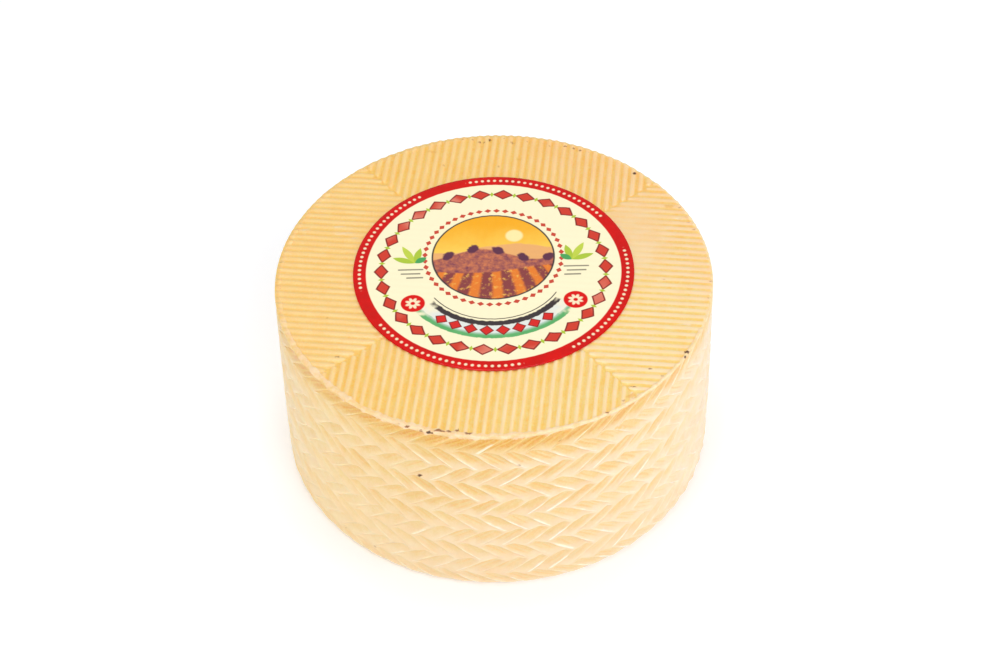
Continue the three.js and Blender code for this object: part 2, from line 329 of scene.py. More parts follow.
class Skin:
    """A mesh in the making: points with their values, and triangles and quads between them."""

    VALUES = ("crest", "thread", "fibre", "rib", "side", "lip", "tone", "speck", "stain")
    LOBES = ((0.22, 2, 2.1), (0.16, 5, 1.0))  # the ragged edge of a spot: size, count and turn
    SPOT_CORE, SPOT_RIM = 0.5, 1.4  # as shares of a spot's size

    def __init__(self):
        self.points, self.values, self.quads, self.triangles = [], [], [], []
        self.count = 0

    def add(self, x, y, z, **values):
        """Adds points in any array shape and gives their numbers in that shape."""
        x, y, z = np.broadcast_arrays(x, y, z)
        self.points.append(np.stack([x, y, z], -1).reshape(-1, 3))
        table = [np.broadcast_to(values.get(name, 0.0), x.shape).ravel() for name in self.VALUES]
        self.values.append(np.stack(table, -1))
        numbers = np.arange(x.size).reshape(x.shape) + self.count
        self.count += x.size
        return numbers

    def lofted(self, rings):
        """Quads between rings of equal counts, listed from below upwards."""
        for lower, upper in zip(rings, rings[1:]):
            quads = [lower, np.roll(lower, -1), np.roll(upper, -1), upper]
            self.quads.append(np.stack(quads, -1))

    def zipped(self, outer, outer_angles, inner, inner_angles, upwards):
        """Triangles between two rings of different counts."""
        rings = (outer, inner)
        turns = [(angle, 0, place) for place, angle in enumerate(outer_angles)]
        turns += [(angle, 1, place) for place, angle in enumerate(inner_angles)]
        last = [outer[np.argmax(outer_angles)], inner[np.argmax(inner_angles)]]
        faces = []
        for _, ring, place in sorted(turns):
            point = rings[ring][place]
            faces.append((last[0], point, last[1]) if ring == 0 else (point, last[1], last[0]))
            last[ring] = point
        faces = np.array(faces)
        self.triangles.append(faces if upwards else faces[:, ::-1])

    def mark(self, name, marks, strength, narrowness):
        """Marks ragged spots where the camera sees the given pixels."""
        points = np.concatenate(self.points)
        column = self.VALUES.index(name)
        values = np.concatenate(self.values)
        for number, (pixel_x, pixel_y, size) in enumerate(marks):
            away = points - seen_point(pixel_x, pixel_y)
            turned = np.arctan2(away[:, 2] + away[:, 1], away[:, 0])
            ragged = 1.0
            for lobe, count, turn in self.LOBES:
                ragged = ragged + lobe * np.sin(count * turned + turn * number)
            away = np.linalg.norm(away * narrowness, axis=1) / ragged
            near = 1 - smoothstep(self.SPOT_CORE * size, self.SPOT_RIM * size, away)
            values[:, column] = np.maximum(values[:, column], strength * near)
        self.points, self.values = [points], [values]

    def mesh(self, name):
        quads = np.concatenate(self.quads)
        triangles = np.concatenate(self.triangles)
        corners = np.concatenate([quads.ravel(), triangles.ravel()]).astype(np.int32)
        sizes = np.repeat([4, 3], [len(quads), len(triangles)])
        mesh = bpy.data.meshes.new(name)
        mesh.vertices.add(self.count)
        points = np.concatenate(self.points) * MM
        mesh.vertices.foreach_set("co", points.astype(np.float32).ravel())
        mesh.loops.add(len(corners))
        mesh.loops.foreach_set("vertex_index", corners)
        mesh.polygons.add(len(sizes))
        mesh.polygons.foreach_set("loop_start", (np.cumsum(sizes) - sizes).astype(np.int32))
        mesh.update(calc_edges=True)
        mesh.validate()
        for key, numbers in zip(self.VALUES, np.concatenate(self.values).T):
            layer = mesh.attributes.new(key, "FLOAT", "POINT")
            layer.data.foreach_set("value", np.ascontiguousarray(numbers, np.float32))
        mesh.polygons.foreach_set("use_smooth", np.ones(len(mesh.polygons), bool))
        return mesh


def quarter_grid(reach, line_gap, steps):
    """Points of a round face in the plane, in four quarters of lines along their ridges.

    Gives the welded points, the quads and triangles between them, and the rim's numbers."""
    half = reach * math.sqrt(0.5)
    lines = 2 * int(half / line_gap) + 1
    left = np.linspace(-half, half, lines)
    share = np.linspace(0.0, 1.0, steps + 1)
    eased = 0.5 - 0.5 * np.cos(math.pi * share)
    share = share * (1 - GRID_EASE) + GRID_EASE * eased
    end = np.sqrt(np.maximum(reach**2 - left**2, half**2))
    out = np.abs(left)[:, None] + share * (end - np.abs(left))[:, None]
    left = np.broadcast_to(left[:, None], out.shape)
    points, quads = [], []
    numbers = np.arange(out.size).reshape(out.shape)
    rim = np.zeros(out.shape, bool)
    rim[:, -1] = True
    for turn, (facing, _) in enumerate(QUARTERS):
        angle = math.radians(facing) + PATTERN_TURN
        c, s = math.cos(angle), math.sin(angle)
        points.append(np.stack([c * out - s * left, s * out + c * left], -1).reshape(-1, 2))
        n = numbers + turn * out.size
        corners = [n[:-1, :-1], n[:-1, 1:], n[1:, 1:], n[1:, :-1]]
        quads.append(np.stack(corners, -1).reshape(-1, 4))
    points = np.concatenate(points)
    rim = np.tile(rim.ravel(), 4)
    _, first, again = np.unique(np.round(points, 4), axis=0, return_index=True, return_inverse=True)
    again = again.ravel()
    quads = again[np.concatenate(quads)]
    same = [quads[:, i] == quads[:, (i + 1) % 4] for i in range(4)]
    repeats = np.sum(same, axis=0)
    triangles = [np.delete(quads[(repeats == 1) & same[i]], i, axis=1) for i in range(4)]
    return points[first], quads[repeats == 0], np.concatenate(triangles), np.unique(again[rim])


# The wheel


def line_shift(line):
    """How far the plait's pattern is shifted round the wheel at a line between rows."""
    return STRAND_LEAN if (ROWS - line) % 2 == 0 else 0.0


def line_height(line):
    if line == 0:
        return FOOT_LINE
    return TOP_LINE if line == ROWS else FACE_HEIGHT * line / ROWS


def side_levels():
    """Each ring's row and its share of the row's height, from the foot's edge upwards."""
    levels = []
    for number in range(FOOT_STEPS):
        height = FOOT_ROUNDING * (1 - math.cos(FOOT_ARC * number / FOOT_STEPS))
        levels.append((0, (height - FOOT_LINE) / (line_height(1) - FOOT_LINE)))
    levels += [(row, step) for row in range(ROWS) for step in ROW_STEPS]
    return levels + [(ROWS - 1, 1.0)]


def ring_place(row, step, turn, across):
    """A ring's heights, and how far it is shifted round the wheel, in strands."""
    low, high = line_height(row), line_height(row + 1)
    wave_low, wave_high = (0.0 if line in (0, ROWS) else SCALLOP for line in (row, row + 1))
    wave = wave_low + max(step, 0.0) * (wave_high - wave_low)
    free = smoothstep(-0.3, 0.2, step) if row == 0 else 1.0
    free = free * (1 - smoothstep(0.5, 1.0, step)) if row == ROWS - 1 else free
    level = (row + step) / ROWS
    wander = free * ROW_WANDER * layered_noise(turn, level, STRANDS, ROWS, 21, layers=2)
    sway = free * STRAND_SWAY * layered_noise(turn, level, STRANDS, ROWS, 31, layers=2)
    z = low + step * (high - low) - wave * np.cos(math.tau * across) + wander
    shift = line_shift(row) + step * (line_shift(row + 1) - line_shift(row))
    return np.clip(z, 0.0, TOP_LINE), shift + sway


def pressing(row, angle, turn, level):
    """How hard the plait is pressed, and how near each point is to where it is clearest."""
    clear = (0.5 + 0.5 * np.cos(2 * (angle - CLEAREST))) ** 1.4
    press = BESIDE_PRESS + (FRONT_PRESS - BESIDE_PRESS) * clear
    press = press * (LOW_PRESS + (HIGH_PRESS - LOW_PRESS) * level)
    press = press + PRESS_PATCHES * layered_noise(turn, level, 13, 5, 37)
    press = np.clip(press, *PRESS_LIMITS)
    if row == ROWS - 1:
        press = 0.55 + 0.5 * press
    return press, clear


def side_rings(skin):
    """The foot and the rows of the plait, from below upwards."""
    column = np.arange(COLUMNS)
    strand = column // COLUMNS_PER_STRAND
    share = (column % COLUMNS_PER_STRAND) / COLUMNS_PER_STRAND
    across = share - CROWDING * np.sin(math.tau * share) / math.tau
    from_ridge = np.minimum(across, 1 - across)
    turn = (strand + across) / STRANDS
    random = np.random.default_rng(7)
    shape = (ROWS, STRANDS)
    depth_share = random.uniform(*DEPTH_SHARES, shape)
    fibre_share = random.uniform(*FIBRE_SHARES, shape)
    fibre_phase = random.uniform(0.0, 1.0, shape)
    strand_tone = random.uniform(-1.0, 1.0, shape)
    rib_share = random.uniform(*RIB_SHARES, shape) ** 1.3
    rib_width = random.uniform(*RIB_HALF_WIDTHS, shape)
    rings = []
    for row, step in side_levels():
        level = (row + step) / ROWS
        z, shift = ring_place(row, step, turn, across)
        angle = (strand + across + shift) / STRANDS * math.tau
        press, clear = pressing(row, angle, turn, level)

        # The hollow of a strand between two flat ridges
        ridge_width = THIN_RIDGE + RIDGE_SPREAD * (1 - smoothstep(0.0, 0.7, step))
        ridge_width = ridge_width * (1 + 0.5 * lattice_noise(turn, level, STRANDS, ROWS, 36))
        opened = np.clip((from_ridge - ridge_width) / (0.5 - ridge_width), 0.0, 1.0)
        tongue = np.sin(opened * math.pi / 2) ** 0.9
        begin = -0.22 if row == 0 else -0.02
        close = 0.93 if row == ROWS - 1 else 0.86
        deep = smoothstep(begin, 0.32, step) ** 0.8 * (1 - smoothstep(close, 1.0, step))
        dark = smoothstep(begin, 0.5, step) * (1 - smoothstep(close + 0.04, 1.05, step))
        hollow = tongue * deep * (0.6 + 0.4 * press)
        # How strongly the hollow takes its deeper colour, most towards its upper end
        hollow_colour_share = tongue**0.7 * dark * press
        depth = HOLLOW_DEPTH * depth_share[row][strand] * hollow

        # Its fibres
        thread = FIBRES_PER_STRAND * across + fibre_phase[row][strand]
        thread = thread + 0.25 * lattice_noise(turn, level, STRANDS, 3 * ROWS, 41)
        fibre = fibre_share[row][strand] * np.minimum(1.0, 1.8 * hollow_colour_share) * (0.25 + 0.75 * press)
        stripes = 0.5 + 0.5 * np.cos(math.tau * thread)
        depth = depth + FIBRE_DEPTH * stripes**2.5 * fibre

        # Thin ribs on the ridges and along the lines between the rows
        ridge = np.where(across < 0.5, strand - 1, strand) % STRANDS
        rib = rib_share[row][ridge] * (0.4 + 0.6 * clear)
        rib = rib * np.clip(1 - (from_ridge / rib_width[row][ridge]) ** 2, 0.0, 1.0)
        rib = rib * smoothstep(0.0, 0.15, step) * (1 - smoothstep(0.6, 0.85, step))
        line_rib = 1 - smoothstep(0.0, 0.075, abs(step)) if row > 0 else 0.0
        line_rib = line_rib + (smoothstep(0.925, 1.0, step) if row < ROWS - 1 else 0.0)
        raised = np.maximum(RIB_HEIGHT * rib, LINE_RIB_HEIGHT * line_rib)

        swell = SIDE_SWELL * (layered_noise(turn, level, 9, 4, 51) - 1.0)
        grain = GRAIN_HEIGHT * (layered_noise(turn, level, 330, 56, 61) - 1.0)
        radius = side_radius(z) - SIDE_INSET - depth + raised + swell + grain
        radius = np.minimum(radius, BASE_RADIUS - MARGIN)
        if not rings:
            radius, z = np.full(COLUMNS, BOTTOM_REACH + 0.5), np.zeros(COLUMNS)
        tone = strand_tone[row][strand] * np.minimum(1.0, 2 * hollow)
        ring = skin.add(
            radius * np.cos(angle), radius * np.sin(angle), z, crest=1 - np.clip(hollow_colour_share, 0, 1),
            thread=thread, fibre=fibre, rib=raised / RIB_HEIGHT, side=1.0, tone=tone,
        )
        rings.append(ring)
    return rings, angle, across


def lip_rings(skin, angle, across):
    """The uneven lip, from the first row of the plait up and over to the ridges."""
    turn = angle / math.tau
    wave = layered_noise(turn, 0.5, 14, 1, 71)
    lumps = layered_noise(turn, 0.5, 105, 1, 75)
    nicks = np.clip(layered_noise(turn, 0.5, 130, 1, 79, layers=2) - 0.3, 0.0, None)
    chips = layered_noise(turn, 0.5, 210, 1, 83)
    bite = (0.5 - 0.5 * np.cos(math.tau * across)) ** 1.5
    worn = smoothstep(*LIP_WORN_BETWEEN, np.sin(angle)) + 0.25 * smoothstep(0.0, 0.7, wave)
    worn = np.minimum(worn, 1.0)
    share = 1 - LIP_NARROWING * smoothstep(-0.1, 0.6, np.cos(angle))
    share = share * np.clip(0.95 + 0.15 * wave + 0.3 * lumps + 0.25 * chips, 0.55, 1.15)
    half = LIP_HALF_WIDTH * share
    middle = TOP_RADIUS - 0.05 - half
    flat_end = TOP_REACH + 0.35
    crest = LIP_TOP - LIP_DROP - LIP_NICKS * nicks
    crest = crest + LIP_LUMPS * (lumps - 0.5) + LIP_CHIPS * (chips - 0.5)
    rings = []
    for step in range(1, LIP_STEPS + FLAT_STEPS + 1):
        if step <= LIP_STEPS:
            bend = math.pi * step / LIP_STEPS
            reach = 1 - 0.45 * bite * (1 - worn) if math.cos(bend) > 0 else 1.0
            radius = middle + half * reach * math.cos(bend)
            over = math.sin(bend) ** 0.6 if step < LIP_STEPS else 0.0
            inner = smoothstep(0.3, 0.8, step / LIP_STEPS)
        else:
            flat = (step - LIP_STEPS) / FLAT_STEPS
            radius = (middle - half) * (1 - flat) + flat_end * flat
            over, inner = 0.0, 1.0
        x, y = radius * np.cos(angle), radius * np.sin(angle)
        face, ridge, tone = top_height(x, y)
        base = TOP_LINE * (1 - inner) + face * inner
        high = crest - LIP_WEAR * worn * (1 - 0.8 * ridge)
        level = step / (LIP_STEPS + FLAT_STEPS)
        grain = GRAIN_HEIGHT * over * layered_noise(turn, level, 360, 6, 81, layers=2)
        z = np.maximum(base, base + (high - base) * over) + grain
        pale = over**0.7 * (1 - 0.85 * worn) * (0.8 + 0.9 * chips + 0.5 * lumps - nicks)
        plain = over + (1 - over) * ridge * inner
        ridged = ridge * inner + 0.85 * (1 - inner)
        ring = skin.add(
            x, y, np.minimum(z, LIP_TOP - LIP_MARGIN), side=1 - inner, tone=tone * inner,
            lip=np.clip(pale, 0, 1), crest=np.clip(plain + (ridged - plain) * worn, 0, 1),
        )
        rings.append(ring)
    return rings


def face_points(skin, reach, grid, upwards):
    """A face with its ridges. Gives the numbers and angles of its rim."""
    points, quads, triangles, rim = quarter_grid(reach, *grid)
    x, y = points.T
    if upwards:
        z, ridge, tone = top_height(x, y)
    else:
        ridge, tone = board_relief(x, y, BOTTOM_SEED)
        land_start = BOTTOM_REACH - BOTTOM_LAND
        land = smoothstep(land_start - 0.6, land_start + 0.2, np.hypot(x, y))
        ridge = np.maximum(ridge, land)
        dents = BOTTOM_DENT * (plane_noise(x, y, BOTTOM_DENT_SIZE, 240) + 1)
        z = RIDGE_HEIGHT * (1 - ridge) + dents * (1 - land) * (1 - ridge)
        y = -y
    numbers = skin.add(x, y, z, crest=ridge, tone=tone)
    skin.quads.append(numbers[quads])
    skin.triangles.append(numbers[triangles])
    return numbers[rim], np.arctan2(y[rim], x[rim]) % math.tau


def build_wheel():
    skin = Skin()
    rings, top_angle, top_across = side_rings(skin)
    foot = skin.points[0]
    foot_angle = np.arctan2(foot[:, 1], foot[:, 0]) % math.tau
    rings += lip_rings(skin, top_angle, top_across)
    skin.lofted(rings)
    rim, rim_angle = face_points(skin, TOP_REACH, TOP_GRID, True)
    skin.zipped(rings[-1], top_angle % math.tau, rim, rim_angle, True)
    rim, rim_angle = face_points(skin, BOTTOM_REACH, BOTTOM_GRID, False)
    skin.zipped(rings[0], foot_angle, rim, rim_angle, False)
    for mark in MARKS:
        skin.mark(*mark)
    return skin.mesh("wheel_rind")


# The label

LABEL_SIDES, LABEL_RINGS = 360, 75
LABEL_SAG, RIM_SAG = 0.08, 0.02  # between the ridges, and more at the rim
LABEL_WAVE, LABEL_WAVE_SIZE = 0.04, 30.0
PAPER = 0.2


def build_label():
    """A closed paper disc that dips a little between the ridges that it lies on."""
    angle = np.arange(LABEL_SIDES) / LABEL_SIDES * math.tau
    radii = LABEL_RADIUS * (np.arange(LABEL_RINGS) + 1) / LABEL_RINGS
    radius, turn = np.meshgrid(radii, angle, indexing="ij")
    x, y = radius * np.cos(turn), radius * np.sin(turn) + LABEL_SHIFT
    ridge, _ = board_relief(x, y, TOP_SEED)
    rim = smoothstep(LABEL_RADIUS - 4, LABEL_RADIUS, radius)
    sag = (LABEL_SAG + RIM_SAG * rim) * (1 - ridge)
    sag = sag + LABEL_WAVE * (1 + plane_noise(x, y, LABEL_WAVE_SIZE, 300))
    level = FACE_HEIGHT + LABEL_THICKNESS
    skin = Skin()
    top = skin.add(x, y, level - sag)
    middle_top = skin.add([0.0], [LABEL_SHIFT], [level - 0.05])
    under = skin.add(x[-1], y[-1], level - sag[-1] - PAPER)
    middle_under = skin.add([0.0], [LABEL_SHIFT], [FACE_HEIGHT + 0.02])
    skin.lofted([under, *top[::-1]])
    for middle, edge, next_edge in (
        (middle_top, top[0], np.roll(top[0], -1)),
        (middle_under, np.roll(under, -1), under),
    ):
        fan = [edge, next_edge, np.full(LABEL_SIDES, middle[0])]
        skin.triangles.append(np.stack(fan, -1))
    return skin.mesh("label_paper")


# Materials


def linear(*seen):
    """A colour as it is seen, from 0 to 255, as the linear colour that a shader takes."""
    shares = [value / 255 for value in seen]
    parts = [share / 12.92 if share <= 0.04045 else ((share + 0.055) / 1.055) ** 2.4 for share in shares]
    return (*parts, 1.0)


class Number:
    """A number that varies over a surface, made by nodes."""

    def __init__(self, graph, socket):
        self.graph, self.socket = graph, socket

    def __add__(self, other):
        return self.graph.math("ADD", self, other)

    def __sub__(self, other):
        return self.graph.math("SUBTRACT", self, other)

    def __rsub__(self, other):
        return self.graph.math("SUBTRACT", other, self)

    def __mul__(self, other):
        return self.graph.math("MULTIPLY", self, other)

    def __truediv__(self, other):
        return self.graph.math("DIVIDE", self, other)

    def __neg__(self):
        return self * -1.0

    def size(self):
        return self.graph.math("ABSOLUTE", self)

    def sine(self):
        return self.graph.math("SINE", self)

    def fraction(self):
        return self.graph.math("FRACT", self)


class Graph:
    """A material's nodes, written as arithmetic."""

    def __init__(self, name):
        self.material = bpy.data.materials.new(name)
        self.material.use_nodes = True
        tree = self.material.node_tree
        tree.nodes.clear()
        self.nodes, self.links = tree.nodes, tree.links

    def node(self, kind, settings=None, **inputs):
        """A new node with its settings and with values led into its inputs by their names."""
        node = self.nodes.new("ShaderNode" + kind)
        for name, value in (settings or {}).items():
            setattr(node, name, value)
        for name, value in inputs.items():
            self.link(value, node.inputs[name.replace("_", " ")])
        return node

    def link(self, value, socket):
        """Leads a value into a socket. Three numbers are a colour as it is seen."""
        if isinstance(value, tuple) and len(value) == 3:
            value = linear(*value)
        if isinstance(value, (Number, bpy.types.NodeSocket)):
            self.links.new(getattr(value, "socket", value), socket)
        else:
            socket.default_value = value

    def math(self, operation, *values):
        node = self.node("Math", {"operation": operation})
        for value, socket in zip(values, node.inputs):
            self.link(value, socket)
        return Number(self, node.outputs[0])

    def ramp(self, value, low, high):
        """0 below low and 1 above high, with a soft change between."""
        smooth = {"interpolation_type": "SMOOTHSTEP"}
        node = self.node("MapRange", smooth, Value=value, From_Min=low, From_Max=high)
        return Number(self, node.outputs["Result"])

    def attribute(self, name):
        return Number(self, self.node("Attribute", {"attribute_name": name}).outputs["Fac"])

    def place(self):
        """The point on the object in millimetres, as x, y and z. Noise lies there too."""
        start = self.node("TexCoord").outputs["Object"]
        scaled = self.node("VectorMath", {"operation": "SCALE"}, Vector=start, Scale=1 / MM)
        self.point = scaled.outputs[0]
        return [Number(self, part) for part in self.node("SeparateXYZ", Vector=self.point).outputs]

    def noise(self, size, detail=2.0, roughness=0.5):
        """Noise from 0 to 1 with lumps of about the given size in millimetres."""
        sizes = {"Scale": 1 / size, "Detail": detail, "Roughness": roughness}
        return Number(self, self.node("TexNoise", Vector=self.point, **sizes).outputs["Fac"])

    def distance(self, x, y):
        return self.math("SQRT", x * x + y * y)

    def mix(self, share, first, second):
        """From the first colour to the second."""
        node = self.node("Mix", {"data_type": "RGBA"}, Factor=share, A=first, B=second)
        return node.outputs["Result"]

    def with_painted_light(self, colour, share, low, high):
        """A colour multiplied by a tint that goes from low to high, for painted light."""
        node = self.node("VectorMath", {"operation": "MULTIPLY"})
        self.link(colour, node.inputs[0])
        self.link(self.mix(share, (*low, 1.0), (*high, 1.0)), node.inputs[1])
        return node.outputs[0]

    def bump(self, height, distance, strength):
        return self.node("Bump", Height=height, Distance=distance, Strength=strength).outputs[0]

    def shade(self, colour, roughness, **inputs):
        shader = self.node("BsdfPrincipled", Base_Color=colour, Roughness=roughness, **inputs)
        self.node("OutputMaterial", Surface=shader.outputs[0])
        return self.material


# The rind's colours as they are seen, most of them in pairs that take turns in patches
FACE_HOLLOWS = ((255, 203, 87), (255, 212, 110))
FACE_RIDGES = ((255, 214, 140), (255, 219, 152))
PLAIT_HOLLOWS = ((234, 196, 116), (237, 206, 138))
PLAIT_RIDGES = ((240, 207, 155), (242, 215, 169))
# The hollows' paler colour low down is painted light from the floor
FLOOR_LIT_HOLLOW = (237, 207, 150)
FIRST_HOLLOW, FIRST_RIDGE = (235, 186, 76), (231, 188, 92)
# The fibres' paler colour in the lower rows is painted light from the floor
FIBRES = ((238, 182, 96), (240, 193, 120))  # in the upper and in the lower rows
FIRST_FIBRE = (230, 161, 54)
# A painted highlight for the thin ribs on the plait's ridges
RIB_HIGHLIGHT = (252, 243, 214)
PALE_LIPS = ((243, 210, 158), (251, 221, 186))
PALE_GRAIN = (250, 222, 176)
STAIN = (241, 184, 84)
DIRT = ((146, 88, 32), (62, 36, 8))  # at a speck's edge and in its middle

# Painted light that they are multiplied by, on the left and on the right: the faces and the plait grow
# paler towards the brighter lit right and front, the plait also towards the foot, and the faces' back
# right is a little darker
FACE_LIGHT_TINTS = ((1.0, 0.91, 0.82), (1.0, 1.055, 1.48))
RIM_LIGHT_TINTS = ((1.0, 1.0, 1.0), (1.0, 0.94, 0.96))
PLAIT_LIGHT_TINTS = ((1.0, 1.0, 0.91), (1.0, 1.04, 1.23))

# Where the colours change, in millimetres
FLOOR_LIT_ROWS, FIRST_ROW = (8.0, FACE_HEIGHT - 25.0), (FACE_HEIGHT - 14.0, FACE_HEIGHT - 5.0)
FIRST_ROW_FADE = (10.0, 80.0)  # to the right
LIP_DRIP, DRIP_FRONT = (FACE_HEIGHT - 2.8, FACE_HEIGHT - 1.4), (60.0, 90.0)
FACE_LIGHT_REACH, RIM_LIGHT_REACH, PLAIT_LIGHT_REACH = (-80.0, 150.0), (60.0, 100.0), (-90.0, 60.0)
FACE_FRONT = (0.0, 30.0)


def face_colour(graph, rind):
    """The ridged faces, deeper yellow in the grooves, with painted light: deeper yellow on the left,
    paler towards the brighter lit right and front, and a little darker at the back right.
    """
    low = graph.mix(graph.ramp(rind.blotches + rind.tone * 0.12, 0.35, 0.65), *FACE_HOLLOWS)
    high = graph.mix(graph.ramp(rind.patches, 0.35, 0.65), *FACE_RIDGES)
    in_front = graph.ramp(-rind.y - rind.x.size(), *FACE_FRONT) * 0.22
    face = graph.mix(graph.ramp(rind.crest - in_front, 0.05, 0.7), low, high)
    brighter_lit = graph.ramp(rind.x - rind.y * 0.7, *FACE_LIGHT_REACH)
    face = graph.with_painted_light(face, brighter_lit, *FACE_LIGHT_TINTS)
    return graph.with_painted_light(face, graph.ramp(rind.x + rind.y * 0.7, *RIM_LIGHT_REACH), *RIM_LIGHT_TINTS)


def plait_colour(graph, rind):
    """The plait's hollows and paler ridges, with painted light: paler low down and towards the right, and
    painted highlights on the ribs. Gives the colour, and how strong the fibres are.
    """
    # Painted light: the low rows grow paler, where the floor's light falls
    floor_lit_rows = 1 - graph.ramp(rind.z, *FLOOR_LIT_ROWS)
    first_row = graph.ramp(rind.z, *FIRST_ROW) * (1 - graph.ramp(rind.x, *FIRST_ROW_FADE) * 0.7)
    hollow = graph.mix(graph.ramp(rind.patches + rind.tone * 0.25, 0.25, 0.8), *PLAIT_HOLLOWS)
    hollow = graph.mix(floor_lit_rows * 0.6, hollow, FLOOR_LIT_HOLLOW)
    hollow = graph.mix(first_row * 0.85, hollow, FIRST_HOLLOW)

    turn = (rind.thread * 1.15 + rind.blotches * 0.4) * math.tau
    lines = graph.ramp(turn.sine(), 0.0, 1.0) * 0.6 + graph.ramp((turn * 0.57).sine(), 0.2, 1.0) * 0.5
    broken = graph.ramp(rind.grain * 0.4 + rind.blotches, 0.4, 0.7) + first_row * 0.8
    lines = lines * rind.fibre * broken
    fibre = graph.mix(first_row, graph.mix(floor_lit_rows, *FIBRES), FIRST_FIBRE)
    hollow = graph.mix(graph.ramp(lines, 0.0, 0.5) * (first_row * 0.2 + 0.65), hollow, fibre)

    ridge = graph.mix(graph.ramp(rind.patches, 0.3, 0.7), *PLAIT_RIDGES)
    ridge = graph.mix(first_row * 0.8, ridge, FIRST_RIDGE)
    uneven = rind.blotches - 0.5
    plait = graph.mix(graph.ramp(rind.crest + uneven * 0.8, 0.25, 1.05), hollow, ridge)
    # Painted highlight: pale glints along the thin ribs
    plait = graph.mix(graph.ramp(rind.rib + uneven * 0.6, 0.2, 0.85) * 0.7, plait, RIB_HIGHLIGHT)
    # Painted light: paler towards the brighter lit right, the front and the foot
    brighter_lit = graph.ramp(rind.x - rind.y * 0.5 - rind.z * 0.5, *PLAIT_LIGHT_REACH)
    return graph.with_painted_light(plait, brighter_lit, *PLAIT_LIGHT_TINTS), lines


def with_marks(graph, rind, colour):
    """Adds the pale lip, which runs down over the first row in front, with painted highlight streaks on
    the top's ridges, and the stains and specks.
    """
    drip = graph.ramp(rind.z + (rind.blotches - 0.5) * 5.0, *LIP_DRIP) * rind.side
    drip = drip * graph.ramp(-rind.y, *DRIP_FRONT)
    pale = graph.mix(graph.ramp(rind.blotches, 0.4, 0.6), *PALE_LIPS)
    # The lip's pale value also holds the painted highlight streaks
    colour = graph.mix(graph.math("MAXIMUM", rind.lip, drip) * 0.85, colour, pale)
    colour = graph.mix(graph.ramp(rind.grain, 0.35, 0.75) * 0.25, colour, PALE_GRAIN)
    uneven = rind.grain - 0.5
    colour = graph.mix(graph.ramp(rind.stain + uneven * 0.25, 0.05, 0.9) * 0.7, colour, STAIN)
    dirt = graph.mix(graph.ramp(rind.speck, 0.6, 0.9), *DIRT)
    return graph.mix(graph.ramp(rind.speck + uneven * 0.3, 0.12, 0.7) * 0.95, colour, dirt)


def rind_material():
    graph = Graph("rind_wax")
    rind = SimpleNamespace(**{name: graph.attribute(name) for name in Skin.VALUES})
    rind.x, rind.y, rind.z = graph.place()
    rind.patches = graph.noise(8.0)
    rind.blotches = graph.noise(3.2, 3.0, 0.6)
    rind.grain = graph.noise(1.0, 3.0, 0.6)
    plait, lines = plait_colour(graph, rind)
    colour = graph.mix(rind.side, face_colour(graph, rind), plait)
    roughness = graph.math("MULTIPLY_ADD", graph.noise(34.0, 3.0), 0.16, 0.32)
    normal = graph.bump(rind.grain - lines * 0.6, 0.00025, 0.35)
    return graph.shade(
        with_marks(graph, rind, colour), roughness,
        Normal=normal, IOR=1.45, Coat_Weight=0.35, Coat_Roughness=0.13,
        Subsurface_Weight=0.6, Subsurface_Radius=Vector((1.0, 0.7, 0.45)), Subsurface_Scale=0.0022,
    )


class Print:
    """A label's print, laid down as shapes of colour. Sizes are shares of the label's radius."""

    EDGE = 0.004

    def __init__(self, graph, u, v, paper):
        self.graph, self.u, self.v, self.colour = graph, u, v, paper

    def lay(self, share, colour):
        self.colour = self.graph.mix(share, self.colour, colour)

    def below(self, value, limit, edge=EDGE):
        """1 where a value lies below the limit, with a soft edge."""
        return 1 - self.graph.ramp(value, limit - edge, limit + edge)

    def between(self, value, low, high, edge=EDGE):
        return self.below(value, high, edge) * (1 - self.below(value, low, edge))

    def from_centre(self, centre_u, centre_v):
        """Distance from a centre, and the angle there from 0 at the bottom."""
        u, v = self.u - centre_u, self.v - centre_v
        return self.graph.distance(u, v), self.graph.math("ARCTAN2", u, -v)

    def round_a_ring(self, angle, count, radius):
        """The distance along a ring from the middle of the nearest of its equal parts."""
        part = math.tau / count
        return ((angle / part).fraction() - 0.5) * (part * radius)

    def lozenge(self, along, across, length, height, edge=0.06):
        """A lozenge by its half length and half height."""
        return self.below(along.size() / length + across.size() / height, 1.0, edge)

    def leaf(self, base_u, base_v, degrees, length, width):
        """A pointed leaf from its base, repeated as in a mirror on the other side."""
        c, s = math.cos(math.radians(degrees)), math.sin(math.radians(degrees))
        u, v = self.u.size() - base_u, self.v - base_v
        along = (u * c + v * s) / (length / 2) - 1.0
        across = (v * c - u * s).size() / (width / 2)
        return self.below(across + along * along, 1.0, 0.12)

    def bar(self, low_u, high_u, middle_v, thickness):
        """A thin level bar, repeated as in a mirror on the other side."""
        inside = self.between(self.u.size(), low_u, high_u)
        return inside * self.below((self.v - middle_v).size(), thickness / 2, 0.003)


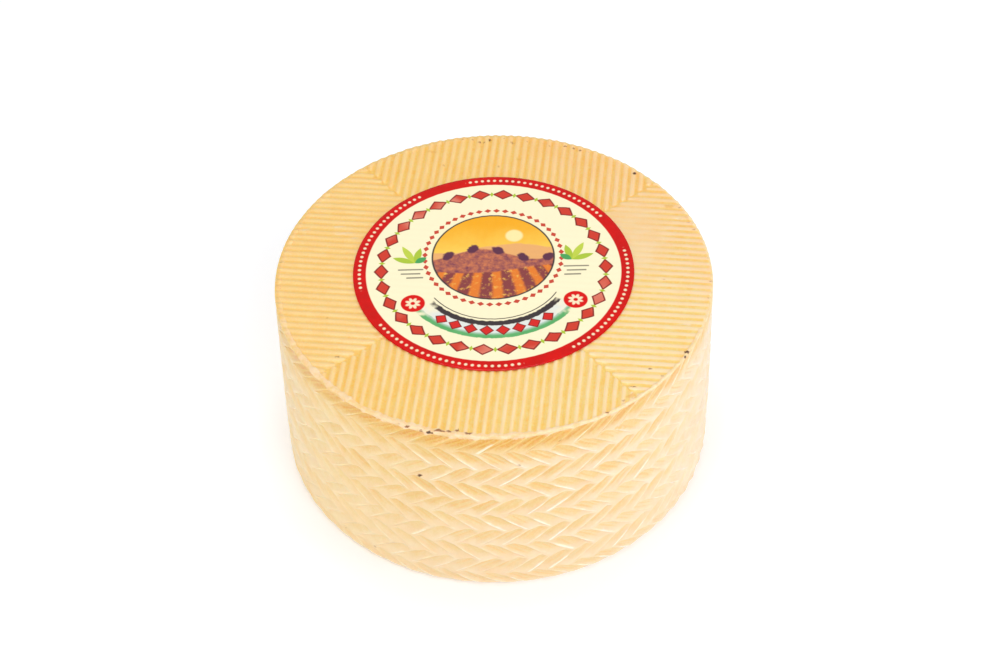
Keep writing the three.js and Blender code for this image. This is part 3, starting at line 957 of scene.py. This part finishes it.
# The label's layout, as shares of its radius
BORDER_START, BORDER_MIDDLE = 0.908, 0.955
BORDER_DOTS, DOT_RADIUS = 132, 0.0115
WREATH_RADIUS, WREATH_PARTS = 0.80, 30
WREATH_LOZENGE, WREATH_FILLING = (0.080, 0.054), (0.062, 0.040)
WREATH_LEAF = (0.014, 0.026)
VIEW_CENTRE, VIEW_RADIUS = (0.0, 0.13), 0.43
VIEW_FRAME = 0.012
BEADS_RADIUS, BEADS, BEAD = 0.49, 48, (0.027, 0.021)
SWEEP_REACH = 0.86  # half of the striped sweep's angle, in radians
SWEEP_PARTS = 34
SWEEP_GREEN, SWEEP_PALE = (0.645, 0.698), (0.56, 0.65)
SWEEP_DARK, SWEEP_LINE = (0.535, 0.578), (0.500, 0.508)
STUDS, STUDS_RADIUS = 8, 0.615
STUD, STUD_FILLING = (0.052, 0.050), (0.040, 0.038)
ROSETTE, ROSETTE_RADIUS, ROSETTE_EYE = (0.57, -0.33), 0.085, 0.016
SPRIG_BASE, LEAF_WIDTH = (0.56, 0.08), 0.052
BARS, BAR_THICKNESS = ((0.50, 0.68, 0.012), (0.52, 0.66, -0.030), (0.50, 0.62, -0.072)), 0.014

# Its colours as they are seen
RED, FADED_RED, DARK_RED = (222, 6, 0), (205, 8, 2), (140, 40, 34)
# The paler lozenge red is painted glare
LOZENGE_RED, GLARE_RED = (212, 62, 44), (244, 178, 150)
BEAD_RED, STUD_RED = (206, 74, 54), (218, 40, 34)
CREAM, PALE_GREY, CHARCOAL = (255, 246, 207), (224, 232, 232), (62, 54, 56)
LEAF_GREEN, FRESH_GREEN = (176, 202, 62), (196, 214, 76)
BAND_GREENS = ((76, 166, 92), (112, 186, 120))
SKY, SUN, FAR_HILL = ((255, 214, 92), (251, 176, 30)), (255, 238, 170), (240, 178, 112)
NEAR_HILL, TREES = ((120, 60, 84), (214, 126, 84)), (96, 50, 74)
FIELD, FIELD_LIGHT = ((140, 66, 66), (234, 128, 46)), (248, 186, 84)
SPRIG = (  # each leaf's degrees, length and colour
    (20, 0.17, LEAF_GREEN), (62, 0.20, FRESH_GREEN), (104, 0.16, LEAF_GREEN), (145, 0.10, BAND_GREENS[0]),
)


def print_view(ink):
    """Low hills at sunset in the round picture. Gives the picture's colour."""
    graph = ink.graph
    p = (ink.u - VIEW_CENTRE[0]) / VIEW_RADIUS
    q = (ink.v - VIEW_CENTRE[1]) / VIEW_RADIUS
    haze = graph.noise(9.0, 3.0, 0.6)
    speckle = graph.noise(2.6, 3.0, 0.65)
    sky = graph.mix(graph.ramp(q + haze * 0.5, 0.1, 1.2), *SKY)
    view = graph.mix(1 - graph.ramp(graph.distance(p - 0.36, q - 0.5), 0.12, 0.17), sky, SUN)

    far_line = (p * 2.6 + 0.6).sine() * 0.10 + haze * 0.12 + 0.14
    view = graph.mix(ink.below(q - far_line, 0.0, 0.02), view, FAR_HILL)
    near_line = (p * 3.4 + 2.3).sine() * 0.13 + haze * 0.10
    near = graph.mix(graph.ramp(speckle + haze * 0.4, 0.4, 1.0), *NEAR_HILL)
    view = graph.mix(ink.below(q - near_line, 0.0, 0.02), view, near)

    tree_step = (p * 2.4 + 0.3).fraction() - 0.5
    tree_up = q - near_line - 0.02
    tree = graph.math("SQRT", tree_step * tree_step * 0.17 + tree_up * tree_up)
    view = graph.mix(ink.below(tree, speckle * 0.09 + 0.05, 0.02), view, TREES)

    field_line = (p * 2.0 - 0.9).sine() * 0.09 + haze * 0.08 - 0.34
    rows = ((p / (1.25 - q)) * 34.0 + speckle * 1.2).sine()
    field = graph.mix(graph.ramp(rows, -0.4, 0.7), *FIELD)
    field = graph.mix(graph.ramp(speckle, 0.52, 0.75), field, FIELD_LIGHT)
    return graph.mix(ink.below(q - field_line, 0.0, 0.02), view, field)


def lay_wreath(ink):
    """A ring of lozenges with small leaves between them."""
    # Painted glare: paler patches across the lozenges where the rippled label catches the light
    glare = ink.graph.ramp(ink.graph.noise(24.0), 0.5, 0.68) * 0.45
    along = ink.round_a_ring(ink.angle, WREATH_PARTS, WREATH_RADIUS)
    across = ink.radius - WREATH_RADIUS
    ink.lay(ink.lozenge(along, across, *WREATH_LOZENGE), DARK_RED)
    filling = ink.graph.mix(glare, LOZENGE_RED, GLARE_RED)
    ink.lay(ink.lozenge(along, across, *WREATH_FILLING), filling)
    between = ink.round_a_ring(ink.angle + math.pi / WREATH_PARTS, WREATH_PARTS, WREATH_RADIUS)
    ink.lay(ink.lozenge(between, across, *WREATH_LEAF, 0.15), LEAF_GREEN)


def lay_view(ink):
    """The round picture with its frame of beads."""
    out, turn = ink.from_centre(*VIEW_CENTRE)
    bead = ink.round_a_ring(turn, BEADS, BEADS_RADIUS)
    ink.lay(ink.lozenge(bead, out - BEADS_RADIUS, *BEAD, 0.12), BEAD_RED)
    ink.lay(ink.below(out, VIEW_RADIUS + VIEW_FRAME), CHARCOAL)
    ink.lay(ink.below(out, VIEW_RADIUS), print_view(ink))


def lay_sweep(ink):
    """The striped sweep below the picture, brushed out at both ends, and its studs."""
    streaks = ink.graph.noise(7.0, 2.0, 0.6)
    fine = ink.graph.noise(2.0)
    end = ink.angle.size() + streaks * 0.5 - 0.25
    green = ink.between(ink.radius + fine * 0.012, *SWEEP_GREEN)
    ink.lay(ink.below(end, SWEEP_REACH, 0.06) * green, ink.graph.mix(streaks, *BAND_GREENS))
    pale = ink.between(ink.radius, *SWEEP_PALE, 0.02) * 0.85
    ink.lay(ink.below(end, SWEEP_REACH, 0.2) * pale, PALE_GREY)
    dark = ink.between(ink.radius + fine * 0.02, *SWEEP_DARK)
    ink.lay(ink.below(end, SWEEP_REACH + 0.05, 0.05) * dark, CHARCOAL)
    line = ink.between(ink.radius, *SWEEP_LINE, 0.003)
    ink.lay(ink.below(end, SWEEP_REACH + 0.12, 0.04) * line, CHARCOAL)
    along = ink.round_a_ring(ink.angle, SWEEP_PARTS, STUDS_RADIUS - 0.005)
    studded = ink.below(ink.angle.size(), STUDS * math.pi / SWEEP_PARTS, 0.01)
    for form, colour in ((STUD, DARK_RED), (STUD_FILLING, STUD_RED)):
        ink.lay(studded * ink.lozenge(along, ink.radius - STUDS_RADIUS, *form), colour)


def lay_sides(ink):
    """Rosettes, sprigs and plain bars, as in a mirror on both sides."""
    flower, petal = Print(ink.graph, ink.u.size(), ink.v, None).from_centre(*ROSETTE)
    ink.lay(ink.below(flower, ROSETTE_RADIUS), RED)
    petals = (petal * 4.0).sine().size() * 0.024 + 0.030
    ink.lay(ink.below(flower - petals, 0.0, 0.008) * 0.9, CREAM)
    ink.lay(ink.below(flower, ROSETTE_EYE), RED)
    for degrees, length, colour in SPRIG:
        ink.lay(ink.leaf(*SPRIG_BASE, degrees, length, LEAF_WIDTH), colour)
    for bar in BARS:
        ink.lay(ink.bar(*bar, BAR_THICKNESS) * 0.75, CHARCOAL)


def lay_border(ink):
    """The red border with its groups of dots."""
    faded = ink.graph.ramp(ink.graph.noise(7.0, 3.0, 0.6), 0.35, 0.7)
    ink.lay(1 - ink.below(ink.radius, BORDER_START), ink.graph.mix(faded, FADED_RED, RED))
    along = ink.round_a_ring(ink.angle, BORDER_DOTS, BORDER_MIDDLE)
    dots = ink.below(ink.graph.distance(along, ink.radius - BORDER_MIDDLE), DOT_RADIUS)
    groups = ink.below((ink.angle * 4.0).sine(), 0.72, 0.02)
    ink.lay(dots * groups * 0.85, CREAM)


def label_material():
    graph = Graph("label_print")
    x, y, _ = graph.place()
    ink = Print(graph, x / LABEL_RADIUS, (y - LABEL_SHIFT) / LABEL_RADIUS, CREAM)
    ink.radius, ink.angle = ink.from_centre(0.0, 0.0)
    lay_wreath(ink)
    lay_view(ink)
    lay_sweep(ink)
    lay_sides(ink)
    lay_border(ink)
    wear = graph.noise(11.0, 3.0)
    normal = graph.bump(wear, 0.0006, 0.3)
    return graph.shade(ink.colour, wear * 0.12 + 0.14, Normal=normal, IOR=1.34)


FLOOR_TONES = ((0.885, 0.90, 0.935, 1.0), (0.905, 0.92, 0.955, 1.0))


def floor_material():
    graph = Graph("studio_floor")
    graph.place()
    colour = graph.mix(graph.noise(60.0), *FLOOR_TONES)
    return graph.shade(colour, 0.6, Emission_Color=(1, 1, 1, 1), Emission_Strength=0.2)


def added(name, data):
    thing = bpy.data.objects.new(name, data)
    bpy.context.scene.collection.objects.link(thing)
    return thing


def piece(name, mesh, material, node):
    """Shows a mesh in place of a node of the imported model."""
    mesh.materials.append(material)
    thing = added(name, mesh)
    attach(thing, "root")
    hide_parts(node)


piece("wheel", build_wheel(), rind_material(), "cheese_wheel")
piece("printed_label", build_label(), label_material(), "label")

# The studio

LIGHT_DISTANCE = 1.6
FLOOR_REACH = 3.0
AIR_STRENGTH = 0.54
WHITE = (1.0, 1.0, 1.0)
SOFTBOXES = (  # degrees to the right of the front and upwards, size, power and colour
    ("right", (68, 9), 0.6, 5.6, (0.95, 1.0, 1.12)),
    ("low_left", (-62, 9), 0.4, 3.6, WHITE),
    ("low_front", (12, 6), 0.35, 1.1, WHITE),
    ("high_front", (22, 45), 0.6, 4.7, WHITE),
    ("over_left", (-30, 70), 0.3, 2.8, WHITE),
    ("over_back", (180, 78), 0.6, 5.6, WHITE),
)


def add_camera():
    data = bpy.data.cameras.new("photo_camera")
    data.lens = FOCAL_PIXELS * SENSOR_WIDTH / IMAGE_WIDTH
    data.sensor_width = SENSOR_WIDTH
    data.clip_start = 0.01
    camera = added("photo_camera", data)
    camera.matrix_world = Matrix.Translation(CAMERA_PLACE) @ CAMERA_TURN
    bpy.context.scene.camera = camera


def add_softbox(name, direction, size, power, colour):
    """A square light that faces the wheel."""
    turn, rise = (math.radians(angle) for angle in direction)
    level = math.cos(rise)
    outwards = Vector((math.sin(turn) * level, -math.cos(turn) * level, math.sin(rise)))
    data = bpy.data.lights.new(name, "AREA")
    data.size, data.energy, data.color = size, power, colour
    middle = Vector((0, 0, FACE_HEIGHT / 2 * MM))
    place = Matrix.Translation(middle + outwards * LIGHT_DISTANCE)
    turned = outwards.to_track_quat("Z", "Y").to_matrix().to_4x4()
    added(name, data).matrix_world = place @ turned


def add_floor():
    reach = (-FLOOR_REACH, FLOOR_REACH)
    corners = [(reach[i], reach[j], 0) for i, j in ((0, 0), (1, 0), (1, 1), (0, 1))]
    mesh = bpy.data.meshes.new("floor")
    mesh.from_pydata(corners, [], [(0, 1, 2, 3)])
    mesh.materials.append(floor_material())
    added("floor", mesh)


def set_world():
    """Even white light from all sides."""
    world = bpy.data.worlds.new("studio_air")
    world.use_nodes = True
    inputs = world.node_tree.nodes["Background"].inputs
    inputs["Color"].default_value = (*WHITE, 1.0)
    inputs["Strength"].default_value = AIR_STRENGTH
    bpy.context.scene.world = world


add_camera()
add_floor()
set_world()
for softbox in SOFTBOXES:
    add_softbox(*softbox)
bpy.context.scene.view_settings.view_transform = "Standard"
